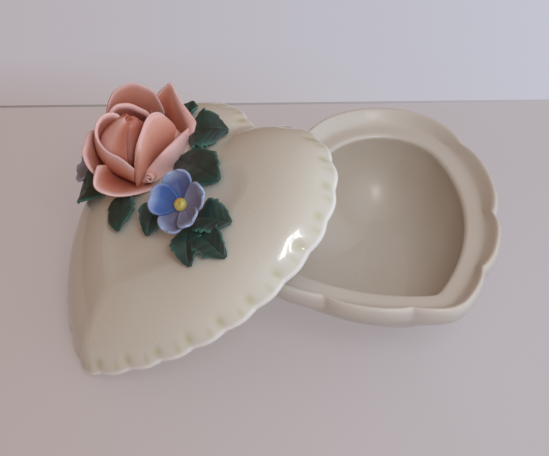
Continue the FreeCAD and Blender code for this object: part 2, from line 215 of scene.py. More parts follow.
LEAF_ROWS, LEAF_COLS = 49, 25
LEAF_TEETH = 5.5        # teeth along each side
LEAF_UP = np.array([0.0, 0.0, 1.0])

# ---- camera, floor, wall and light -----------------------------------------------------------------
CAMERA_AT = (-210.4, -309.2 - FOOT_MIDDLE_Y, 342.9)
CAMERA_TOWARDS = (0.3863, 0.6417, -0.6625)
CAMERA_LENS = 97.7
FLOOR_END = 86.0        # how far behind the box the floor ends
FLOOR_SKEW = 17.0       # how much nearer that is on the left, and further on the right
FLOOR_HALF = 900.0      # half the floor's width
FLOOR_DEPTH = 1400.0
LINE_HEIGHT = 1.0       # the dark line where the floor meets the wall
TO_THE_RIGHT = (0.857, -0.515, 0.0)       # as the camera sees it, along the floor
TOWARDS_LIGHT = (0.55, -0.78, 0.30)
ROOM = ((0.0, (0.100, 0.050, 0.024)), (0.45, (0.155, 0.082, 0.042)), (0.70, (0.34, 0.33, 0.325)),
        (1.0, (0.52, 0.575, 0.66)))
WALL = ((0.0, (0.235, 0.212, 0.225)), (1.0, (0.275, 0.28, 0.32)))
FOOT_OF_WALL = ((0.0, (0.205, 0.165, 0.158)), (0.6, (0.26, 0.25, 0.27)), (1.0, (0.275, 0.28, 0.32)))
ROOM_STRENGTH = 2.0
WINDOW_AT = (-92, -350, 500)
WINDOW_TOWARDS = (-39, -15, 45)
PANE_SIZE = (55, 150)
PANE_APART = 80         # from one pane's middle to the other's
PANE_WATTS = 0.4
DAYLIGHT = (0.93, 0.97, 1.0)


# ---- heart outlines --------------------------------------------------------------------------------
def side_centre():
    """Centre of the right-hand side arc: it touches the lobe and the tip."""
    from_lobe = SIDE_R - LOBE_R
    span = math.hypot(LOBE_X, TIP_Y)
    along = (from_lobe ** 2 - SIDE_R ** 2 + span ** 2) / (2 * span)
    across = math.sqrt(from_lobe ** 2 - along ** 2)
    ux = -LOBE_X / span
    uy = TIP_Y / span
    return LOBE_X + ux * along + uy * across, uy * along - ux * across


SIDE_X, SIDE_Y = side_centre()


def arc(cx, cy, r, start, end, count):
    """Points on an arc, without its last one."""
    a = start + (end - start) * np.arange(count) / count
    return np.stack([cx + r * np.cos(a), cy + r * np.sin(a)], 1)


def deep_cleft(off):
    """The cleft fades out towards the middle of the heart."""
    return CLEFT_R + CLEFT_FADE * max(0.0, RIM_OFF - off)


def half_heart(off, cleft_r):
    """The right half of the outline from the tip up to the cleft."""
    tip_r = max(off, TIP_R_MIN)
    reach = SIDE_R + off - tip_r
    tip_y = SIDE_Y - math.sqrt(reach ** 2 - SIDE_X ** 2)
    lobe_r = LOBE_R + off
    cleft_y = math.sqrt((lobe_r + cleft_r) ** 2 - LOBE_X ** 2)
    at_tip = math.atan2(tip_y - SIDE_Y, -SIDE_X)
    at_lobe = math.atan2(-SIDE_Y, LOBE_X - SIDE_X)
    at_cleft = math.atan2(-cleft_y, LOBE_X)
    return np.concatenate([
        arc(0, tip_y, tip_r, -math.pi / 2, at_tip, TIP_STEPS),
        arc(SIDE_X, SIDE_Y, SIDE_R + off, at_tip, at_lobe, SIDE_STEPS),
        arc(LOBE_X, 0, lobe_r, at_lobe, at_cleft + math.pi, LOBE_STEPS),
        arc(0, cleft_y, cleft_r, at_cleft, -math.pi / 2, CLEFT_STEPS),
        [[0.0, cleft_y - cleft_r]],
    ])


def normals_of(half):
    """Outward unit normals along a half outline."""
    t = np.gradient(half, axis=0)
    n = np.stack([t[:, 1], -t[:, 0]], 1)
    n[0] = (0, -1)
    n[-1] = (0, 1)
    return n / np.linalg.norm(n, axis=1)[:, None]


def both(right, left=None):
    """Values of a right half, then of a left half, round the whole ring."""
    left = right if left is None else left
    return np.concatenate([right, left[-2:0:-1]])


def lengths(half):
    """The distance of each point from the first, along the outline."""
    step = np.linalg.norm(np.diff(half, axis=0), axis=1)
    return np.concatenate([[0.0], np.cumsum(step)])


def ring(off, z, waves, cleft_r):
    """One closed ring of points at an offset; waves push each half along its normals."""
    half = half_heart(off, cleft_r)
    n = normals_of(half)
    right, left = (half + n * np.reshape(w, (-1, 1)) for w in waves)
    left[:, 0] *= -1
    return np.column_stack([both(right, left), z])


# ---- curves and meshes -----------------------------------------------------------------------------
def smooth_through(points, count):
    """Points on a smooth curve through the given ones."""
    p = np.asarray(points, float)
    t = np.linspace(0, len(p) - 1, count)
    i = np.clip(t.astype(int), 0, len(p) - 2)
    f = (t - i)[:, None]
    slope = np.gradient(p, axis=0)
    return ((2 * f ** 3 - 3 * f ** 2 + 1) * p[i] + (f ** 3 - 2 * f ** 2 + f) * slope[i]
            + (3 * f ** 2 - 2 * f ** 3) * p[i + 1] + (f ** 3 - f ** 2) * slope[i + 1])


def dense(profile, times):
    """A profile with that many times more rows."""
    return smooth_through(profile, (len(profile) - 1) * times + 1)


def towards_middle(row, beyond, middle, steps):
    """Rings that carry a surface on from its last ring smoothly to a middle point.
    beyond: a ring one step away, whose height gives the slope to start with."""
    middle = np.array(middle)
    span = np.linalg.norm((row - middle)[:, :2], axis=1)
    step = np.linalg.norm((row - beyond)[:, :2], axis=1)
    slope = (beyond[:, 2] - row[:, 2]) / np.maximum(step, 1e-6) * span
    rows = []
    for t in np.linspace(1, 0, steps + 1)[1:-1]:
        flat = middle + (row - middle) * t
        eased = t * t * (3 - 2 * t)
        flat[:, 2] = middle[2] + (row[:, 2] - middle[2]) * eased + slope * t * t * (t - 1)
        rows.append(flat)
    return rows


def unit(v):
    """Each vector at length 1."""
    return v / np.maximum(np.linalg.norm(v, axis=-1, keepdims=True), 1e-9)


def polar(azimuth, radius, height):
    """Points from azimuths in degrees."""
    a = np.radians(azimuth)
    return np.stack(np.broadcast_arrays(radius * np.cos(a), radius * np.sin(a), height), -1)


def bezier(low, first, second, top, steps):
    """Rows of points from one curve to another, bent by two curves between them."""
    v = np.linspace(0, 1, steps)[:, None, None]
    return ((1 - v) ** 3 * low + 3 * v * (1 - v) ** 2 * first + 3 * v ** 2 * (1 - v) * second + v ** 3 * top)


def grid_faces(rows, cols, closed):
    """Quads between the rows of a grid of points; closed: the last column joins the first."""
    i, j = np.meshgrid(np.arange(rows - 1), np.arange(cols if closed else cols - 1), indexing="ij")
    i, j = i.ravel(), j.ravel()
    k = (j + 1) % cols
    return np.stack([i * cols + j, i * cols + k, (i + 1) * cols + k, (i + 1) * cols + j], 1)


def mesh_object(name, points, faces, tones=None):
    """A smooth-shaded mesh object from points in millimetres; tones: a value a point."""
    mesh = bpy.data.meshes.new(name)
    mesh.from_pydata((np.asarray(points) * MM).tolist(), [], [list(f) for f in faces])
    mesh.polygons.foreach_set("use_smooth", [True] * len(mesh.polygons))
    for key, values in (tones or {}).items():
        layer = mesh.attributes.new(key, "FLOAT", "POINT")
        layer.data.foreach_set("value", np.asarray(values, np.float32))
    mesh.update()
    obj = bpy.data.objects.new(name, mesh)
    bpy.context.scene.collection.objects.link(obj)
    return obj


def shell(name, rows, tones=None):
    """A closed solid from rings that start at one middle point and end at another."""
    rows = np.asarray(rows)
    count, cols = rows.shape[:2]
    points = rows.reshape(-1, 3)
    faces = grid_faces(count, cols, True).tolist()
    first, last = len(points), len(points) + 1
    points = np.concatenate([points, [rows[0].mean(0), rows[-1].mean(0)]])
    end = (count - 1) * cols
    for j in range(cols):
        k = (j + 1) % cols
        faces.append([first, k, j])
        faces.append([last, end + j, end + k])
    if tones:
        tones = {key: np.concatenate([np.ravel(v), [0.0, 0.0]]) for key, v in tones.items()}
    return mesh_object(name, points, faces, tones)


def thicken(obj, thickness):
    """Give a thin piece its thickness and round it off."""
    solid = obj.modifiers.new("Thickness", "SOLIDIFY")
    solid.thickness = thickness * MM
    solid.offset = 0.0
    smooth = obj.modifiers.new("Smooth", "SUBSURF")
    smooth.levels = 1
    smooth.render_levels = 1
    return obj


def sheet_object(name, points, tones, thickness, more=None):
    """A thin piece from a grid of points in the lid's own frame; more: a second grid and its tones."""
    grids = [(points, tones)] + ([more] if more else [])
    faces, start = [], 0
    for grid, _ in grids:
        faces.append(grid_faces(*grid.shape[:2], False) + start)
        start += grid.shape[0] * grid.shape[1]
    joined = np.concatenate([grid.reshape(-1, 3) for grid, _ in grids])
    values = {key: np.concatenate([own[key].ravel() for _, own in grids]) for key in tones}
    return thicken(mesh_object(name, on_lid(joined), np.concatenate(faces), values), thickness)


# ---- materials -------------------------------------------------------------------------------------
class Nodes:
    """A short way to write the node tree of a material or of the world."""

    def __init__(self, owner, coordinates="Object"):
        owner.use_nodes = True
        self.owner = owner
        self.tree = owner.node_tree
        self.place = self.node("ShaderNodeTexCoord").outputs[coordinates]

    def put(self, socket, value):
        """Link a node's output to a socket, or set the socket's own value."""
        if isinstance(value, bpy.types.NodeSocket):
            self.tree.links.new(value, socket)
        else:
            socket.default_value = value

    def node(self, kind, **inputs):
        """A new node; its inputs are named with _ for each space."""
        made = self.tree.nodes.new(kind)
        for key, value in inputs.items():
            self.put(made.inputs[key.replace("_", " ")], value)
        return made

    def noise(self, scale, detail=2.0):
        """Soft noise over the piece, from 0 to 1."""
        return self.node("ShaderNodeTexNoise", Vector=self.place, Scale=scale, Detail=detail).outputs["Fac"]

    def tone(self, key):
        """A value that the mesh carries at each point."""
        made = self.node("ShaderNodeAttribute")
        made.attribute_name = key
        return made.outputs["Fac"]

    def times_plus(self, value, factor, plus):
        """value * factor + plus."""
        made = self.node("ShaderNodeMath")
        made.operation = "MULTIPLY_ADD"
        for socket, given in zip(made.inputs, (value, factor, plus)):
            self.put(socket, given)
        return made.outputs[0]

    def along(self, direction, low, high):
        """0 to 1 as the place goes from low to high along a direction."""
        dot = self.node("ShaderNodeVectorMath")
        dot.operation = "DOT_PRODUCT"
        for socket, given in zip(dot.inputs, (self.place, direction)):
            self.put(socket, given)
        fit = self.node("ShaderNodeMapRange", Value=dot.outputs["Value"], From_Min=low, From_Max=high)
        return fit.outputs[0]

    def ramp(self, value, *stops):
        """Stops are (position, colour); a colour may be one grey number."""
        made = self.node("ShaderNodeValToRGB", Fac=value)
        elements = made.color_ramp.elements
        while len(elements) < len(stops):
            elements.new(0.5)
        for element, (at, colour) in zip(elements, stops):
            element.position = at
            element.color = (*colour, 1) if isinstance(colour, tuple) else (colour, colour, colour, 1)
        return made.outputs["Color"]

    def mix(self, share, a, b, how="MIX"):
        """Two colours mixed; share is how much of the second."""
        made = self.node("ShaderNodeMix")
        made.data_type = "RGBA"
        made.blend_type = how
        self.put(made.inputs[0], share)
        for socket, colour in ((made.inputs[6], a), (made.inputs[7], b)):
            self.put(socket, (*colour, 1) if isinstance(colour, tuple) else colour)
        return made.outputs[2]

    def cloudy(self, scale, detail, low, high):
        """Noise as 0 to 1, all 0 below low and all 1 above high."""
        return self.ramp(self.noise(scale, detail), (low, 0.0), (high, 1.0))

    def gloss(self, scale, low, high):
        """A roughness that drifts between two values."""
        return self.ramp(self.noise(scale), (0.3, low), (0.7, high))

    def glaze(self, bumps, strength, depth, **inputs):
        """The finished material: bumps of that scale, then the shader's inputs."""
        shader = self.tree.nodes["Principled BSDF"]
        bump = self.node("ShaderNodeBump", Height=bumps, Strength=strength, Distance=depth)
        self.put(shader.inputs["Normal"], bump.outputs["Normal"])
        return self.shade(**inputs)

    def shade(self, **inputs):
        """The finished material from the shader's inputs."""
        shader = self.tree.nodes["Principled BSDF"]
        for key, value in inputs.items():
            self.put(shader.inputs[key.replace("_", " ")], value)
        return self.owner


def material_nodes(name):
    """The node tree of a new material."""
    return Nodes(bpy.data.materials.new(name))


def porcelain(name, body, warm, tint_and_shade, roughness, coat, coat_roughness):
    """Off-white glaze: faint warm clouds, rare brown specks, the mesh's tint (green paint in the lid's
    dimples, painted shade inside the bowl), and a pale painted highlight where the mesh says.
    """
    n = material_nodes(name)
    colour = n.mix(n.cloudy(28.0, 3.0, 0.35, 0.75), body, warm)
    colour = n.mix(n.cloudy(900.0, 1.0, 0.79, 0.82), colour, (0.42, 0.33, 0.22))
    # tint: green paint in the lid's dimples, painted shade inside the bowl
    colour = n.mix(n.tone("tint"), colour, tint_and_shade)
    # pale: a painted highlight, the bright thin line along the lid's rim edge
    colour = n.mix(n.tone("pale"), colour, (0.78, 0.76, 0.715))
    return n.glaze(n.noise(160.0), 0.12, 0.0006, Base_Color=colour, IOR=1.5,
                   Roughness=n.gloss(60.0, roughness * 0.7, roughness * 1.3),
                   Coat_Weight=coat, Coat_Roughness=coat_roughness)


def rose_glaze():
    """Salmon-pink glaze: deep red-brown down in the folds and pale at the petals' edges; on the bud and the
    scroll the tone also carries painted light and shade.
    """
    n = material_nodes("rose_glaze")
    tone = n.times_plus(n.tone("tone"), 0.86, n.times_plus(n.noise(110.0, 3.0), 0.26, 0.0))
    colour = n.ramp(tone, (0.12, (0.24, 0.040, 0.026)), (0.40, (0.46, 0.13, 0.08)),
                    (0.74, (0.64, 0.29, 0.21)), (1.0, (0.78, 0.48, 0.45)))
    return n.glaze(n.noise(240.0), 0.15, 0.0005, Base_Color=colour, Roughness=n.gloss(80.0, 0.34, 0.5),
                   Coat_Weight=0.14, Coat_Roughness=0.12)


def leaf_glaze():
    """Dark teal green, satin, bluer where the brush left more colour and paler on the edges."""
    n = material_nodes("leaf_glaze")
    colour = n.mix(n.cloudy(140.0, 3.0, 0.35, 0.68), (0.022, 0.036, 0.030), (0.026, 0.075, 0.062))
    edge = n.ramp(n.tone("edge"), (0.62, 0.0), (1.0, 1.0))
    colour = n.mix(edge, colour, (0.045, 0.15, 0.125))
    return n.glaze(n.noise(420.0, 3.0), 0.3, 0.0004, Base_Color=colour, Roughness=n.gloss(200.0, 0.38, 0.55),
                   Coat_Weight=0.05, Coat_Roughness=0.3)


def flower_glaze(name, deep, grey, pale):
    """Blue washed over grey-violet, paler at the petals' edges."""
    n = material_nodes(name)
    brushed = n.times_plus(n.noise(120.0), 0.5, n.tone("wash"))
    colour = n.mix(n.ramp(brushed, (0.2, 0.0), (1.1, 1.0)), deep, grey)
    edge = n.ramp(n.tone("edge"), (0.70, 0.0), (1.0, 1.0))
    colour = n.mix(edge, colour, pale)
    return n.glaze(n.noise(300.0), 0.12, 0.0004, Base_Color=colour, Roughness=n.gloss(90.0, 0.3, 0.45),
                   Coat_Weight=0.2, Coat_Roughness=0.2)


def bead_glaze():
    """Yellow with orange patches."""
    n = material_nodes("bead_glaze")
    colour = n.mix(n.cloudy(260.0, 2.0, 0.38, 0.62), (0.52, 0.46, 0.12), (0.62, 0.36, 0.07))
    return n.glaze(n.noise(700.0), 0.2, 0.0003, Base_Color=colour, Roughness=0.3, Coat_Weight=0.3,
                   Coat_Roughness=0.1)


def backdrop(name, left, right, own):
    """A pale surface whose colour shifts from warm and darker on the left to cool and brighter on the right,
    which is painted room light; own is the share that fills its shadows.
    """
    n = material_nodes(name)
    # warm and darker on the left, cool and brighter on the right: painted room light
    tint = n.mix(n.along(TO_THE_RIGHT, -0.16, 0.16), left, right)
    colour = n.mix(1.0, tint, n.ramp(n.noise(6.0), (0.3, 0.97), (0.7, 1.0)), "MULTIPLY")
    diffuse = n.mix(1.0, colour, (0.42, 0.42, 0.42), "MULTIPLY")
    return n.shade(Base_Color=diffuse, Roughness=0.7, Emission_Color=colour, Emission_Strength=own)


# ---- base ------------------------------------------------------------------------------------------
def rim_wave(s, length, valleys, tip_start):
    """The base's broad lobes: 0 at a crest, -1 in a valley."""
    marks = np.array([-tip_start, *valleys, length])
    at = np.clip(np.searchsorted(marks, s, side="right") - 1, 0, len(marks) - 2)
    low, high = marks[at], marks[at + 1]
    return -np.abs(2 * (s - low) / (high - low) - 1) ** 3


def rim_waves(s, share):
    """How far the rim's lobes push the points of the right half and of the left half."""
    sides = ((RIM_VALLEYS_RIGHT, RIM_VALLEYS_LEFT), (RIM_VALLEYS_LEFT, RIM_VALLEYS_RIGHT))
    return [share * RIM_LOBE_DEPTH * rim_wave(s, s[-1], own, other[0]) for own, other in sides]


def bowl_painted_shade(rows):
    """How much painted shade darkens the glaze: only the inside, and more so higher up its wall, under the
    lip.
    """
    heights = np.array([row[:, 2].max() for row in rows])
    inside = (np.arange(len(rows)) > heights.argmax()) & (heights < PAINTED_SHADE_BELOW)
    tint_and_shade = [0.12 + 0.25 * np.clip((row[:, 2] - 4.0) / 12.0, 0, 1) for row in rows]
    return np.array(tint_and_shade) * inside[:, None]


def base_bowl():
    """The bowl, from the middle of its foot up the outside, over the rim and down to its floor."""
    rows = []
    for off, z, share in dense(BASE_PROFILE, 3):
        sharp = z > SHARP_CLEFT_ABOVE and off > SHARP_CLEFT_OUTSIDE
        cleft = CLEFT_R if sharp else deep_cleft(off)
        waves = rim_waves(lengths(half_heart(off, cleft)), share)
        row = ring(off, z + both(*waves) * RIM_DIP * (z > LOBES_ABOVE), waves, cleft)
        row[:, 1] -= FOOT_MIDDLE_Y
        rows.append(row)
    foot = towards_middle(rows[0], rows[0], FOOT_HOLLOW, 6)[::-1]
    floor = towards_middle(rows[-1], rows[-1], FLOOR_MIDDLE, 12)
    rows = foot + rows + floor
    # painted shade inside the bowl, carried as its tint
    tint_and_shade = bowl_painted_shade(rows)
    return shell("bowl", rows, {"tint": tint_and_shade, "pale": np.zeros_like(tint_and_shade)})


# ---- lid -------------------------------------------------------------------------------------------
def lid_matrix():
    """The matrix from the lid's own frame to where it leans."""
    lean = math.radians(LID_TILT_TO + 90)
    tilt = Matrix.Rotation(math.radians(LID_TILT), 4, Vector((math.cos(lean), math.sin(lean), 0)))
    turn = Matrix.Rotation(math.radians(LID_TURN), 4, "Z")
    return Matrix.Translation(Vector(LID_AT)) @ tilt @ turn


LID_MATRIX = np.array(lid_matrix())


def on_lid(points):
    """Points from the lid's own frame to where it leans."""
    p = np.asarray(points, float)
    return p @ LID_MATRIX[:3, :3].T + LID_MATRIX[:3, 3]


def dome_z(x, y):
    """Height of the dome's surface above a point of the lid."""
    x = abs(x)
    turn = (LOBE_X - SIDE_X) * (y - SIDE_Y) + SIDE_Y * (x - SIDE_X)
    if turn > 0:
        off = math.hypot(x - LOBE_X, y) - LOBE_R
    else:
        off = math.hypot(x - SIDE_X, y - SIDE_Y) - SIDE_R
    inward = [row[0] for row in DOME[1:]]
    height = [row[1] for row in DOME[1:]]
    return float(np.interp(LID_OFF - off, inward, height))


def hollow_at(across, inward, at, wide):
    """1 in the middle of a small hollow, fading to 0 round it."""
    return np.exp(-(across / wide) ** 2 - ((inward - at) / 1.2) ** 2)


def lid_row(inward, z, folded):
    """One ring of the lid, how green it is, and how pale its painted edge highlight makes it. folded: the
    edge's dimples and grooves.
    """
    off = LID_OFF - inward
    cleft = deep_cleft(off)
    s = lengths(half_heart(off, cleft))
    phase = 0.5 * LID_FOLDS * s / s[-1]
    crest = np.abs(np.cos(math.pi * phase)) ** 1.1
    fade = max(0.0, 1.0 - inward / LID_FOLD_WIDTH) ** 1.5
    wave = -LID_FOLD_DEPTH * (1 - crest) * fade
    lift = LID_FOLD_LIFT * (1 - crest) * fade
    green, pale = np.zeros(len(s)), np.zeros(len(s))
    if folded:
        pitch = 2 * s[-1] / LID_FOLDS
        to_valley = (phase - np.floor(phase) - 0.5) * pitch
        to_crest = (phase - np.round(phase)) * pitch
        dimple = hollow_at(to_valley, inward, DIMPLE[0], DIMPLE[1])
        groove = hollow_at(to_crest - 0.1 * pitch, inward, GROOVE[0], GROOVE[1])
        lift = lift - DIMPLE[2] * dimple - GROOVE[2] * groove
        green = np.clip(DIMPLE[3] * dimple + GROOVE[3] * groove, 0, 1)
        # painted highlight: the pale thin line right at the edge
        pale = np.full(len(s), math.exp(-((inward - 0.05) / 0.32) ** 2))
    fuller = LID_FULLER * np.sin(math.pi * np.clip((s / s[-1] - 0.08) / 0.62, 0, 1)) ** 2
    row = ring(off, z + both(lift), (wave + fuller, wave), cleft)
    return row, both(green), both(pale)


def lid_rows(profile, folded):
    """Rings, greens and pales (the painted edge highlight), each as a list."""
    return [list(kind) for kind in zip(*(lid_row(inward, z, folded) for inward, z in profile))]


def lid_shell():
    """The lid, from the middle of its hollow out over the locating ring and up the dome."""
    under, under_green, under_pale = lid_rows(dense(UNDERSIDE[::-1], 2), False)
    inner = towards_middle(under[0], under[1], HOLLOW_MIDDLE, 8)[::-1]
    dome, dome_green, dome_pale = lid_rows(dense(DOME, 4), True)
    top = towards_middle(dome[-1], 2 * dome[-1] - dome[-2], DOME_MIDDLE, 10)
    rows = inner + under + dome + top
    plain = np.zeros(len(rows[0]))
    before, after = [plain] * len(inner), [plain] * len(top)
    green = before + under_green + dome_green + after
    pale = before + under_pale + dome_pale + after
    return shell("lid", [on_lid(row) for row in rows], {"tint": green, "pale": pale})


# ---- rose ------------------------------------------------------------------------------------------
def rose_frame():
    """The rose leans off the lid's normal: its right, back and axis, in the lid's own frame."""
    axis = unit(np.array(ROSE_AXIS))
    right = np.array(ROSE_RIGHT)
    right = unit(right - axis * (right @ axis))
    return np.stack([right, np.cross(axis, right), axis])


def on_rose(points):
    """Points from the rose's own frame to the lid's: x right, y back, z along its axis."""
    return np.asarray(points) @ rose_frame() + np.array(ROSE_FOOT)


def rose_petal(name, rim, foot, swell, reach, lip, fold, ruffle=0.2, deep=2.4):
    """A petal from its foot, low on the rose's axis, to its rim; ROSE says what each value is."""
    count, steps, turns = 45, 17, 7
    top = smooth_through(rim, count)
    rng = np.random.default_rng(sum(map(ord, name)))
    u = np.linspace(0, 1, count)
    for waves in (3, 5, 8):
        sway = np.sin(waves * math.pi * u + rng.uniform(0, 6)) * np.sin(math.pi * u) ** 0.5
        top += (sway * ruffle / waves ** 0.5)[:, None] * rng.normal(size=3)
    azimuth = np.linspace(foot[0], foot[1], count)
    second = top + polar(azimuth, reach[0], -reach[1])
    rows = [bezier(polar(azimuth, foot[2], foot[3]), polar(azimuth, swell[0], swell[1]), second, top, steps)]
    onward = unit(top - second)
    out = unit(np.cross(unit(np.gradient(top, axis=0)), onward))
    out *= np.sign(np.sum(out * polar(azimuth, 1.0, 0.3), -1, keepdims=True))
    turn = np.radians(np.interp(u, (0, 0.5, 1), lip[1:]))[:, None]
    for k in range(1, turns + 1):
        a = turn * k / turns
        rows.append((top + lip[0] * (np.sin(a) * onward + (1 - np.cos(a)) * out))[None])
    level = np.concatenate([np.linspace(0, 1, steps), 1 + 0.03 * np.arange(1, turns + 1)])
    tone = 1 - fold * (1 - np.clip(level[:, None], 0, 1) ** deep) * np.ones((1, count))
    side = np.minimum(u, 1 - u) * 2
    tone += 0.10 * np.clip(1 - side * 6, 0, 1)[None] - 0.16 * (level[:, None] < 0.98)
    return sheet_object(name, on_rose(np.concatenate(rows)), {"tone": np.clip(tone, 0, 1)}, PETAL_T)


def bud_rows(azimuth, rows, further=0.0):
    """Rings of the bud, or of what wraps it that much further out."""
    knots = smooth_through(BUD, rows)
    flat = polar(azimuth[None], knots[:, 1:2] + further, 0.0)
    squash = 1 + 0.07 * np.cos(2 * np.radians(azimuth - 200))[None, :, None]
    points = flat * squash
    points[..., 0] += knots[:, 2:3]
    points[..., 1] += knots[:, 3:4]
    points[..., 2] = knots[:, :1] + further * 0.5
    return points


def rose_heart():
    """The closed middle of the bud, which the petals wrap."""
    points = bud_rows(np.linspace(0, 360, 61)[:-1], 29)
    # tone: dark deep orange, darkest at the foot; the bud's deep colour, and where its strip shows right of
    # the left petal, painted shade of the bud's right face
    tone = 0.05 + 0.34 * np.linspace(0, 1, 29)[:, None] * np.ones((1, 60))
    return shell("rose_heart", on_lid(on_rose(points)), {"tone": tone})


def bud_left():
    """The petal that closes over the bud from the left, its edge running down the front."""
    azimuth = np.linspace(110, 262, 49)
    points = bud_rows(azimuth, 29, 0.55)
    level = np.linspace(0, 1, 29)[:, None]
    side = np.linspace(0, 1, 49)[None]
    points[..., 0] += 1.1 * (1 - level) ** 1.5 * side ** 4
    # tone: darker towards the foot, as in the folds; across the petal a pale band where its left face is lit,
    # darker round to its right face: painted light and shade
    tone = 0.32 + 0.68 * level ** 0.3 * np.exp(-((side - 0.60) / 0.24) ** 4)
    return sheet_object("rose_bud_left", on_rose(points), {"tone": tone}, BUD_T)


def rolled_petal():
    """The petal whose top turns outwards and ends in a small scroll at the front."""
    count, steps, turns = 49, 9, 15
    crest = smooth_through(ROLL_CREST, count)
    edge = smooth_through(ROLL_EDGE, count)
    azimuth = 268 + 120 * np.linspace(0, 1, count)
    second = crest + polar(azimuth, 0.6, -4.0)
    rows = [bezier(polar(azimuth, 5.0, -0.5), polar(azimuth, 13.2, 2.5), second, crest, steps)]
    onward = unit(crest - second)
    span = np.linalg.norm(edge - crest, axis=1)[:, None]
    shoulder = crest + onward * span * 0.30 + (edge - crest) * 0.45 + polar(azimuth, 0.18, 0.0) * span
    for t in np.linspace(0, 1, turns)[1:]:
        rows.append(((1 - t) ** 2 * crest + 2 * t * (1 - t) * shoulder + t ** 2 * edge)[None])
    points = np.concatenate(rows)
    level = np.concatenate([0.1 + 0.6 * np.linspace(0, 1, steps), np.full(len(points) - steps, 1.0)])
    tone = level[:, None] * np.ones((1, count))
    return sheet_object("rose_right_rolled", on_rose(points), {"tone": tone}, ROLLED_T, more=scroll())


def scroll():
    """The small spiral at the front end of the rolled petal."""
    axis = unit(np.array(SCROLL_ALONG))
    across = unit(np.cross(axis, (0.0, 0.0, 1.0)))
    up = np.cross(across, axis)
    turn = np.linspace(0, 2.5 * math.pi, 45)[:, None, None]
    far = np.linspace(0, 1, 9)[None, :, None]
    radius = (1.55 - 1.2 * (turn / turn.max()) ** 0.9) * (1 - 0.2 * far)
    angle = 2.2 - turn
    points = (np.array(SCROLL_AT) + axis * far * 4.5
              + radius * (np.cos(angle) * across + np.sin(angle) * up))
    # tone: darker along the scroll away from its open end: painted shade inside the roll
    return on_rose(points), {"tone": np.full((45, 9), 0.95) - 0.5 * far[..., 0] * np.ones((45, 1))}


def rose():
    """All ten pieces of the rose."""
    made = [rose_petal(name, **shape) for name, shape in ROSE.items()]
    return made + [rose_heart(), bud_left(), rolled_petal()]


# ---- small five-petalled flowers -------------------------------------------------------------------
def flower_frame(at, lift, lean, lean_to):
    """The matrix from a flower's own frame to the lid's."""
    a = math.radians(lean_to + 90)
    turn = Matrix.Rotation(math.radians(lean), 4, Vector((math.cos(a), math.sin(a), 0)))
    return np.array(Matrix.Translation((at[0], at[1], dome_z(*at) + lift)) @ turn)


def placed(points, place):
    """Points from a flower's own frame to the lid's."""
    return points @ place[:3, :3].T + place[:3, 3]


def small_petal(name, place, azimuth, reach, width, lift, wash):
    """A rounded petal, dished, with a crease down its middle, lifted over or under its neighbour."""
    rows, cols = 17, 19
    v = np.linspace(0.0, 1, rows)[:, None]
    u = np.linspace(-1, 1, cols)[None]
    widest = 0.62
    rise = np.sin(0.5 * np.pi * np.clip(v / widest, 0, 1)) ** 0.85
    fall = np.sqrt(np.clip(1 - (np.clip(v - widest, 0, 1) / (1.004 - widest)) ** 2.4, 0, 1))
    x = reach * (0.08 + 0.92 * v) * (1 - 0.07 * u ** 2 * v)
    y = 0.5 * width * (0.14 + 0.86 * rise * fall) * u
    dish = 0.13 * v ** 2 + 0.10 * u ** 2 * v - 0.10 * np.sin(np.pi * v) * (1 - u ** 2)
    crease = 0.25 * np.exp(-(u / 0.12) ** 2) * np.sin(np.pi * np.clip(v * 1.3, 0, 1))
    z = reach * dish + lift * (0.3 + 0.7 * np.sin(0.5 * np.pi * v)) - crease
    a = math.radians(azimuth)
    flat = np.stack([x * math.cos(a) - y * math.sin(a), x * math.sin(a) + y * math.cos(a), z], -1)
    edge = np.maximum(np.broadcast_to(v, flat.shape[:2]), np.abs(u) * v ** 0.4)
    tones = {"edge": edge, "wash": np.full(flat.shape[:2], wash)}
    return sheet_object(name, placed(flat, place), tones, FLOWER_PETAL_T)


def bead(name, place):
    """A slightly flattened bead with a shallow dimple."""
    turn = np.linspace(0, 360, 28, endpoint=False)
    rows = []
    for a in math.pi * np.linspace(0.04, 0.97, 17):
        radius = BEAD_R * math.sin(a)
        dimple = 0.5 * math.exp(-(radius / 0.7) ** 2) * (a < 0.5 * math.pi)
        rows.append(polar(turn, radius, BEAD_LIFT + 0.85 * BEAD_R * math.cos(a) - dimple))
    return shell(name, [on_lid(placed(row, place)) for row in rows])


def small_flower(colour, at, lift, lean, lean_to, petals):
    """The petals, then the bead in their middle."""
    place = flower_frame(at, lift, lean, lean_to)
    made = [small_petal(f"{colour}_petal_{k}", place, *petal) for k, petal in enumerate(petals, 1)]
    return made, bead(f"{colour}_bead", place)


# ---- leaves ----------------------------------------------------------------------------------------
def leaf_spine(start, end, heights):
    """Points along the midrib, which arches over the dome."""
    a = np.array([*start, dome_z(*start) + heights[0]])
    b = np.array([*end, dome_z(*end) + heights[2]])
    middle = 0.5 * (a + b)
    middle[2] = dome_z(*middle[:2]) + heights[1]
    t = np.linspace(0, 1, LEAF_ROWS)[:, None]
    return (1 - t) ** 2 * a + 2 * t * (1 - t) * (2 * middle - 0.5 * (a + b)) + t ** 2 * b


def leaf_teeth(rng, v):
    """How far the teeth push the left and the right edge out, along the leaf."""
    sides = []
    for start in rng.uniform(0, 1, 2):
        place = v * LEAF_TEETH + start + 0.35 * np.sin(v * 11 + start * 20)
        sides.append(rng.uniform(0.5, 1.6, 9)[place.astype(int)] * (place % 1.0 - 0.55))
    return sides


